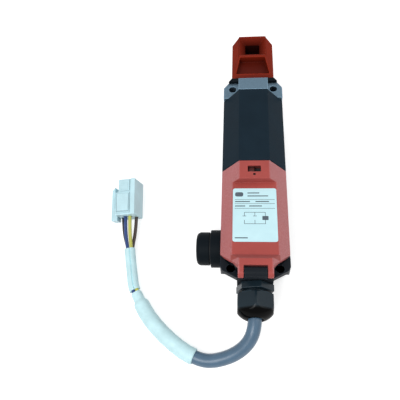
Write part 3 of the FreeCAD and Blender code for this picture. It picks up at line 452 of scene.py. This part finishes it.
def room_beside(edge, plane_edges):
    """How far the faces beside an edge run on, square to it, before the next sharp edge in their
    plane."""
    middle = (edge.verts[0].co + edge.verts[1].co)/2
    room = math.inf
    for face in edge.link_faces:
        loop = [corner for corner in face.loops if corner.edge == edge][0]
        along = (loop.link_loop_next.vert.co - loop.vert.co).normalized()
        inward = face.normal.cross(along)
        for other in plane_edges[plane_of(face)]:
            start, end = [vertex.co - middle for vertex in other.verts]
            before, after = start.dot(along), end.dot(along)
            if other is not edge and before*after < 0:
                depth = start.dot(inward) + (end - start).dot(inward)*before/(before - after)
                if depth > 1e-6:
                    room = min(room, depth)
    return room


SHARP = math.radians(32)
SAME_PLANE = math.radians(0.5)
ROUNDING_STEPS = 3
SHARE_OF_ROOM = 0.35


def softened(node, width):
    """A copy of a construction node with its sharp edges rounded, as far as each has room."""
    mesh, work = joined_copy(node)
    bmesh.ops.dissolve_limit(work, angle_limit=SAME_PLANE, verts=work.verts, edges=work.edges)
    weight = work.edges.layers.float.new("bevel_weight_edge")
    plane_edges, sharp = {}, []
    for edge in work.edges:
        if len(edge.link_faces) == 2 and edge.calc_face_angle() > SHARP:
            sharp.append(edge)
            for face in edge.link_faces:
                plane_edges.setdefault(plane_of(face), []).append(edge)
    for edge in sharp:
        edge[weight] = min(1, SHARE_OF_ROOM*room_beside(edge, plane_edges)/(width*MM))
    bmesh.ops.triangulate(work, faces=[face for face in work.faces if len(face.verts) > 4])
    piece = new_piece("skin_" + node, written(work, mesh))
    bevel = piece.modifiers.new("rounding", "BEVEL")
    bevel.width, bevel.segments, bevel.limit_method = width*MM, ROUNDING_STEPS, "WEIGHT"
    bevel.use_clamp_overlap, bevel.loop_slide = False, False
    applied(piece)
    smooth_to(piece.data, 40)
    shading = piece.modifiers.new("shading", "WEIGHTED_NORMAL")
    shading.keep_sharp = True
    return stands_for(applied(piece), node)


SOFT_EDGES = {
    "front_cover": 0.4, "upper_cover": 0.5, "mounting_frame": 0.35, "neck_collar": 0.3,
    "head_housing": 0.4, "gland_body": 0.4, "side_collar": 0.4, "side_cap": 0.4,
    "connector_housing": 0.3, "connector_latch": 0.3, "connector_lock": 0.2,
    "release_slider": 0.2,
}
REMADE = ["slide_spring", "lock_spring", "gland_nut", "terminal_screws", "cable_jacket",
          "main_sleeve", "upper_sleeve", "wire_black", "wire_blue", "wire_yellow", "wire_brown"]
skins = {node: softened(node, width) for node, width in SOFT_EDGES.items()}
for node in nodes:
    if node not in SOFT_EDGES and node not in REMADE:
        painted(nodes[node], node)


def coil_spring(node):
    """A copy of a construction spring, its faces joined and smoothed, in the spring's place."""
    mesh, work = joined_copy(node)
    smooth_to(written(work, mesh), 40)
    spring = stands_for(new_piece("coil_" + node, mesh), node)
    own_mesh(spring)


coil_spring("slide_spring")
coil_spring("lock_spring")

# The gland's domed nut: six flats that run out on a round dome, turned about the cable entry


def from_rings(name, rings):
    """A skin through rings of equally many points. Its two ends are closed by flat faces."""
    count = len(rings[0])
    places = [place for ring in rings for place in ring]
    faces = [tuple(reversed(range(count))), tuple(range(len(places) - count, len(places)))]
    for start in range(0, len(places) - count, count):
        for step in range(count):
            near, far = start + step, start + (step + 1) % count
            faces.append((near, far, far + count, near + count))
    mesh = bpy.data.meshes.new(name)
    mesh.from_pydata(places, [], faces)
    work = bmesh.new()
    work.from_mesh(mesh)
    bmesh.ops.recalc_face_normals(work, faces=work.faces)
    smooth_to(written(work, mesh), 50)
    return new_piece(name, mesh)


def round_ring(radius, count=32):
    """Points (across, up) on a circle."""
    turns = [math.tau*step/count for step in range(count)]
    return [(radius*math.cos(turn), radius*math.sin(turn)) for turn in turns]


PORT_HEIGHT = 22
NUT_FLATS = 22
NUT_TURN = math.radians(28)
# Places along the nut with the radius there, from its face over the flats and the dome to its bore
NUT_PROFILE = [
    (-86, 8.1), (-82.6, 8.2), (-82.4, 8.6), (-82.4, 11.4), (-82.8, 12.2), (-83.4, 12.5),
    (-90, 12.5), (-91.2, 12.3), (-92.4, 11.8), (-93.6, 11.1), (-94.7, 10.2), (-95.7, 9.1),
    (-96.6, 7.8), (-97.3, 6.4), (-97.6, 5.5), (-97.45, 4.95), (-96.8, 4.75), (-94.2, 4.7),
]


def nut_ring(along, reach, count=120):
    """A hexagon across the nut, cut off at the radius `reach`."""
    ring = []
    for step in range(count):
        turn = math.tau*step/count
        from_flat = (turn - NUT_TURN) % (math.pi/3) - math.pi/6
        radius = min(reach, NUT_FLATS/2/math.cos(from_flat))
        ring.append(mm(radius*math.cos(turn), along, PORT_HEIGHT + radius*math.sin(turn)))
    return ring


stands_for(from_rings("domed_nut", [nut_ring(*place) for place in NUT_PROFILE]), "gland_nut")

# Flat plates: the rib behind the key slots, and the label in the cover's recess


def slab(work, low, high, corner):
    """A flat plate between two corners, added to the mesh in the making. Its four upright edges
    have the radius `corner`."""
    steps = 6 if corner else 0
    outline = []
    for side_x, side_y, quarter in ((1, 1, 0), (-1, 1, 1), (-1, -1, 2), (1, -1, 3)):
        x = (high if side_x > 0 else low)[0] - side_x*corner
        y = (high if side_y > 0 else low)[1] - side_y*corner
        for step in range(steps + 1):
            turn = math.pi/2*(quarter + step/6)
            outline.append((x + corner*math.cos(turn), y + corner*math.sin(turn)))
    bottom = [work.verts.new(mm(x, y, low[2])) for x, y in outline]
    top = [work.verts.new(mm(x, y, high[2])) for x, y in outline]
    work.faces.new(top)
    work.faces.new(list(reversed(bottom)))
    for step in range(len(outline)):
        following = (step + 1) % len(outline)
        work.faces.new((bottom[step], bottom[following], top[following], top[step]))


def plates(name, boxes, material, body):
    """One piece made of flat plates: (low corner, high corner, corner radius)."""
    work = bmesh.new()
    for low, high, corner in boxes:
        slab(work, low, high, corner)
    piece = new_piece(name, written(work, bpy.data.meshes.new(name)))
    piece.data.materials.append(material)
    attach(piece, body)
    return piece


GUIDE_LOW, GUIDE_HIGH = (-5.4, 119.25, 25.8), (5.4, 121.2, 28.6)
plates("key_guide", [(GUIDE_LOW, GUIDE_HIGH, 0)], finishes["head_red"], "head")

LABEL_BACK = 44.8
LABEL_FACE = LABEL_BACK + 0.15
INK_FACE = LABEL_FACE + 0.02
LABEL_LOW, LABEL_HIGH = (-13.8, -56.2, LABEL_BACK), (13.8, -18.6, LABEL_FACE)
plates("label", [(LABEL_LOW, LABEL_HIGH, 1.4)], label_stock, "cover")


def inked(x0, y0, x1, y1, corner=0.0):
    """A printed patch between two corners."""
    return (x0, y0, LABEL_FACE), (x1, y1, INK_FACE), corner


def level(x0, x1, y, wide):
    return inked(x0, y - wide/2, x1, y + wide/2)


def upright(x, y0, y1, wide):
    return inked(x - wide/2, y0, x + wide/2, y1)


# Generic print: three rules, a contact diagram with two break contacts and a coil, and plain bars
# where a maker would print rows of data
RULE, TRACE, BAR = 0.25, 0.3, 0.7
marks = [level(-12.6, 12.6, y, RULE) for y in (-26.8, -29.8, -33.2)]
for x in (-6.5, 0, 6.5):
    marks += [upright(x, -38.6, -36, TRACE), upright(x, -44, -41.4, TRACE)]
marks += [level(-6.5, 6.5, -36, TRACE), level(-6.5, 6.5, -44, TRACE)]
marks += [level(-7.7, -5.3, -38.6, TRACE), level(-1.2, 1.2, -38.6, TRACE)]
marks += [inked(4.6, -41.4, 8.4, -38.6, corner=0.3), inked(-12.4, -24.6, -7.2, -21.4, corner=1.2)]
for x0, x1, y in ((-4.5, 3, -22), (-4.5, 8.5, -24.2), (-12.4, -3, -28.3), (0.5, 9, -28.3),
                  (-12.4, -6, -31.5), (-3.5, 4.5, -31.5), (-12.4, -4.5, -53.6)):
    marks.append(level(x0, x1, y, BAR))
plates("label_print", marks, label_ink, "cover")

# Terminal screws: one slotted head, repeated over the contact blocks


def node_group(name, sockets):
    """An empty Geometry Nodes tree with named number inputs. Returns it and its two ends."""
    tree = bpy.data.node_groups.new(name, "GeometryNodeTree")
    tree.interface.new_socket("Geometry", in_out="OUTPUT", socket_type="NodeSocketGeometry")
    for socket, value in sockets.items():
        made = tree.interface.new_socket(socket, in_out="INPUT", socket_type="NodeSocketFloat")
        made.default_value = value
    return tree, tree.nodes.new("NodeGroupInput"), tree.nodes.new("NodeGroupOutput")


def grown(name, tree, sizes):
    """The plain mesh that a Geometry Nodes tree makes with the given sizes."""
    piece = new_piece(name, bpy.data.meshes.new(name))
    growth = piece.modifiers.new("growth", "NODES")
    growth.node_group = tree
    for item in tree.interface.items_tree:
        if item.in_out == "INPUT":
            growth[item.identifier] = sizes[item.name]
    return applied(piece)


def add(tree, kind, *settings, **links):
    """A new node with its settings, as name and value, and the links or values of its inputs."""
    made = tree.nodes.new(kind)
    for key, value in settings:
        setattr(made, key, value)
    for key, value in links.items():
        socket = made.inputs[key.replace("_", " ")]
        if hasattr(value, "is_output"):
            tree.links.new(value, socket)
        else:
            socket.default_value = value
    return made


def times(tree, value, factor):
    """The product of a value and a fixed number."""
    product = add(tree, "ShaderNodeMath", ("operation", "MULTIPLY"))
    tree.links.new(value, product.inputs[0])
    product.inputs[1].default_value = factor
    return product.outputs[0]


SCREW_SIZES = {"Head": 2.2*MM, "Rise": 2.2*MM, "Slot": 0.7*MM, "Across": 25.6*MM,
               "Along": 20*MM}
SCREW_MIDDLE = mm(0, -23, 25.1)


def screw_tree():
    tree, given, result = node_group("screw_rows", SCREW_SIZES)
    radius, rise = given.outputs["Head"], given.outputs["Rise"]
    head = add(tree, "GeometryNodeMeshCylinder", Vertices=32, Radius=radius, Depth=rise)
    size = add(tree, "ShaderNodeCombineXYZ", X=times(tree, radius, 3), Y=given.outputs["Slot"],
               Z=rise)
    blade = add(tree, "GeometryNodeMeshCube", Size=size.outputs[0])
    up = add(tree, "ShaderNodeCombineXYZ", Z=times(tree, rise, 0.5))
    raised = add(tree, "GeometryNodeTransform", Geometry=blade.outputs["Mesh"],
                 Translation=up.outputs[0])
    slotted = add(tree, "GeometryNodeMeshBoolean", ("operation", "DIFFERENCE"))
    tree.links.new(head.outputs["Mesh"], slotted.inputs["Mesh 1"])
    tree.links.new(raised.outputs["Geometry"], slotted.inputs["Mesh 2"])
    rows = add(tree, "GeometryNodeMeshGrid", Size_X=given.outputs["Across"],
               Size_Y=given.outputs["Along"], Vertices_X=2, Vertices_Y=3)
    spread = add(tree, "GeometryNodeInstanceOnPoints", Points=rows.outputs["Mesh"],
                 Instance=slotted.outputs["Mesh"])
    real = add(tree, "GeometryNodeRealizeInstances", Geometry=spread.outputs["Instances"])
    coated = add(tree, "GeometryNodeSetMaterial", Geometry=real.outputs["Geometry"])
    coated.inputs["Material"].default_value = finishes["steel"]
    tree.links.new(coated.outputs["Geometry"], result.inputs[0])
    return tree


screws = grown("screw_heads", screw_tree(), SCREW_SIZES)
screws.data.transform(Matrix.Translation(SCREW_MIDDLE))
stands_for(screws, "terminal_screws")

# Cords: the same points as the construction's routes

CABLE_ROUTE = [mm(0, -91, 22), mm(-0.1, -101.4, 21.7), mm(-3.9, -110, 15.8),
               mm(-12.5, -115.8, 9.8), mm(-24, -118.9, 6), mm(-32.5, -118.9, 5.3),
               mm(-37.75, -116.75, 5.3)]
SLEEVE_ROUTE = [mm(-37.75, -116.75, 5.3), mm(-43, -114.6, 5.3), mm(-51.5, -108.9, 5.3),
                mm(-60.3, -101.5, 5.3), mm(-69, -92.4, 5.3), mm(-75.4, -82.5, 5.3),
                mm(-78.9, -76.2, 5.3)]
WIRE_ROUTE = [mm(-78.9, -76.2, 5.3), mm(-81.3, -71.9, 5.3), mm(-83.2, -63, 5),
              mm(-85.2, -53.8, 5.1), mm(-86.9, -44.5, 5.7)]
# Each wire lies beside the route, (across, up) by SPREAD, and then runs to its own socket.
WIRES = {"wire_black": (-1, -1, mm(-94, -28.9, 3.9), mm(-94.5, -14.4, 7.5)),
         "wire_blue": (-1, 1, mm(-91.4, -30, 8.6), mm(-91.9, -15.5, 12.2)),
         "wire_yellow": (1, 1, mm(-88.1, -30.1, 9.2), mm(-88.6, -15.5, 12.8)),
         "wire_brown": (1, -1, mm(-84.1, -29, 5.5), mm(-84.6, -14.5, 9.1))}
SPREAD = 1.25*MM
WIRE = 2.45*MM


def smooth_line(name, points, diameter=0.0):
    """A smooth curve with the route's points as its control points."""
    curve = bpy.data.curves.new(name, "CURVE")
    curve.dimensions = "3D"
    spline = curve.splines.new("NURBS")
    spline.points.add(len(points) - 1)
    for point, place in zip(spline.points, points):
        point.co = (*place, 1)
    spline.order_u = 3
    spline.use_endpoint_u = True
    curve.resolution_u = 16
    curve.bevel_depth = diameter/2
    curve.bevel_resolution = 7
    curve.use_fill_caps = True
    return new_piece(name, curve)


def centreline(points):
    """Points read along the smooth curve of a route."""
    line = smooth_line("line", points)
    mesh = bpy.data.meshes.new_from_object(line)
    places = [vertex.co.copy() for vertex in mesh.vertices]
    bpy.data.objects.remove(line)
    bpy.data.meshes.remove(mesh)
    return places


def along_line(name, places, section):
    """A skin along a line. `section` gives the ring of (across, up) at a distance from the start
    and from the end, in millimetres."""
    lengths = [0.0]
    for before, after in zip(places, places[1:]):
        lengths.append(lengths[-1] + (after - before).length)
    rings = []
    for step, place in enumerate(places):
        following, previous = places[min(step + 1, len(places) - 1)], places[max(step - 1, 0)]
        forward = (following - previous).normalized()
        side = forward.cross(Vector((0, 0, 1))).normalized()
        up = side.cross(forward)
        ring = section(lengths[step]/MM, (lengths[-1] - lengths[step])/MM)
        rings.append([place + side*(x*MM) + up*(z*MM) for x, z in ring])
    return from_rings(name, rings)


NECK_LENGTH, NECK_RADIUS, SLEEVE_RADIUS = 7.2, 3.75, 5.2
BAND_PLACE = 9.5


def sleeve_section(start, end):
    """The sleeve's shape: a rounded lip, a long even run, a pressed band and a narrow neck."""
    if end < NECK_LENGTH:
        return round_ring(NECK_RADIUS - 0.25*max(0, 1 - end/1.0))
    lip = 0.5*max(0.0, 1 - start/0.6)
    taper = 0.7*max(0.0, 1 - (end - NECK_LENGTH)/2.2)
    band = 0.12*max(0.0, 1 - abs(end - BAND_PLACE)/1.0)
    waves = 0.05*math.sin(start*0.9) + 0.04*math.sin(start*2.3)
    return round_ring(SLEEVE_RADIUS - lip - taper - band + waves)


SPLIT_HALF_WIDTH, SPLIT_HALF_HEIGHT = 3.75, 3.1
SLIT_PLACE, SLIT_WIDTH, SLIT_DEPTH = 0.15, 0.26, 0.95


def split_section(start, end, count=96):
    """Two sleeves side by side, a wide one and a narrow one, with a slit between them."""
    ring = []
    for step in range(count):
        turn = math.tau*step/count
        across, up = SPLIT_HALF_WIDTH*math.cos(turn), SPLIT_HALF_HEIGHT*math.sin(turn)
        slit = math.exp(-((across - SLIT_PLACE)/SLIT_WIDTH)**2) if up > 0 else 0
        ring.append((across, up - SLIT_DEPTH*slit))
    return ring


jacket = stands_for(smooth_line("cable", CABLE_ROUTE, 8.6*MM), "cable_jacket")
sleeve = stands_for(along_line("long_sleeve", centreline(SLEEVE_ROUTE), sleeve_section),
                    "main_sleeve")
# The split sleeve starts a little way up the wires, clear of the long sleeve's mouth.
ahead = (WIRE_ROUTE[1] - WIRE_ROUTE[0]).normalized()
SPLIT_ROUTE = [WIRE_ROUTE[0] + ahead*2*MM] + WIRE_ROUTE[1:]
split = stands_for(along_line("split_sleeve", centreline(SPLIT_ROUTE), split_section),
                   "upper_sleeve")


def beside(points, across, lift):
    """The route moved sideways and up by a fixed distance."""
    moved = []
    for place, point in enumerate(points):
        run = points[min(place + 1, len(points) - 1)] - points[max(place - 1, 0)]
        aside = Vector((run.y, -run.x, 0)).normalized()*across
        moved.append(point + aside + Vector((0, 0, lift)))
    return moved


for name, (across, lift, *lead) in WIRES.items():
    route = beside(WIRE_ROUTE, across*SPREAD, lift*SPREAD) + lead
    wire = stands_for(smooth_line(name + "_strand", route, WIRE), name)

# Relief on the connector, laid out in its own frame: X across, Y away from the wires, Z up

PLUG_TURN = (Matrix.Rotation(math.radians(2), 3, "Z") @ Matrix.Rotation(math.radians(14), 3, "X")
             @ Matrix.Rotation(math.radians(-9.5), 3, "Y"))
PLUG_TOP = 16.2
PLUG_REACH = mm(7.5, 13.2, PLUG_TOP + 0.9)
unturned = [PLUG_TURN.inverted() @ vertex.co for vertex in nodes["connector_housing"].data.vertices]
plug_middle = Vector([max(place[axis] for place in unturned) for axis in range(3)]) - PLUG_REACH
STEP, RIM, REST = PLUG_TOP + 0.5, PLUG_TOP + 0.55, PLUG_TOP + 0.85
relief = plates("connector_relief", [
    # A raised block towards the mating end, with a finger rest on it
    ((-4.6, 4.4, PLUG_TOP), (3.2, 12.6, RIM), 0.3),
    ((-3.6, 5.4, RIM), (2.2, 9.4, REST), 0.3),
    # The frame of the window that the wire lock snaps into
    ((-6.9, -11.8, PLUG_TOP), (-6.4, 3.0, STEP), 0),
    ((2.95, -11.8, PLUG_TOP), (3.45, 3.0, STEP), 0),
    ((-6.4, -11.8, PLUG_TOP), (2.95, -11.2, STEP), 0),
], finishes["nylon"], "switch_body")
relief.data.transform(PLUG_TURN.to_4x4() @ Matrix.Translation(plug_middle))

# Studio


def seen(tree, plain, bright):
    """A strength that is `bright` to the camera and in reflections and `plain` elsewhere."""
    path = tree.nodes.new("ShaderNodeLightPath")
    share = path.outputs["Is Camera Ray"]
    for name in ("Is Glossy Ray", "Is Transmission Ray"):
        most = tree.nodes.new("ShaderNodeMath")
        most.operation = "MAXIMUM"
        tree.links.new(share, most.inputs[0])
        tree.links.new(path.outputs[name], most.inputs[1])
        share = most.outputs[0]
    strength = tree.nodes.new("ShaderNodeMapRange")
    tree.links.new(share, strength.inputs["Value"])
    strength.inputs["To Min"].default_value = plain
    strength.inputs["To Max"].default_value = bright
    return strength.outputs["Result"]


WHITE = (1, 1, 1, 1)
world = bpy.data.worlds.new("studio")
bpy.context.scene.world = world
world.use_nodes = True
sky = world.node_tree.nodes["Background"]
sky.inputs["Color"].default_value = WHITE
world.node_tree.links.new(seen(world.node_tree, 0.5, 1.0), sky.inputs["Strength"])


def lamp(name, place, size, power):
    """A square lamp that faces the origin."""
    light = bpy.data.lights.new(name, "AREA")
    light.size, light.energy = size, power
    piece = new_piece(name, light)
    piece.location = place
    piece.rotation_euler = (-Vector(place)).to_track_quat("-Z", "Y").to_euler()


lamp("key_lamp", (-0.3, -0.45, 0.7), 0.45, 3.6)
lamp("fill_lamp", (0.55, 0.1, 0.6), 0.6, 1.4)

# The floor keeps the object's shadow, and its own glow brings it up to the white around it.
FLOOR_HALF, FLOOR_DROP = 3.0, 0.0002
floor_mesh = bpy.data.meshes.new("floor")
floor_mesh.from_pydata([(-FLOOR_HALF, -FLOOR_HALF, 0), (FLOOR_HALF, -FLOOR_HALF, 0),
                        (FLOOR_HALF, FLOOR_HALF, 0), (-FLOOR_HALF, FLOOR_HALF, 0)], [],
                       [(0, 1, 2, 3)])
floor = new_piece("floor", floor_mesh)
floor.location.z = -FLOOR_DROP
floor_paint = Paint("floor", 0.9, Base_Color=(0.8, 0.8, 0.8), Specular_IOR_Level=0.0,
                    Emission_Color=(1, 1, 1))
floor_paint.tree.links.new(seen(floor_paint.tree, 0.0, 0.6),
                           floor_paint.shader.inputs["Emission Strength"])
floor_mesh.materials.append(floor_paint.material)

# The camera's place and lens come from the photograph's perspective.
PHOTO_WIDTH, LENS_PIXELS, SENSOR = 400, 477.128, 36
camera_data = bpy.data.cameras.new("camera")
camera_data.sensor_width = SENSOR
camera_data.lens = LENS_PIXELS*SENSOR/PHOTO_WIDTH
camera = new_piece("camera", camera_data)
camera.matrix_world = (Matrix.Translation(mm(-6.76, -177.084, 310.248))
                       @ Matrix.Rotation(0.185, 4, "Z") @ Matrix.Rotation(0.522, 4, "X")
                       @ Matrix.Rotation(-0.163, 4, "Z"))
bpy.context.scene.camera = camera
bpy.context.scene.view_settings.view_transform = "Standard"
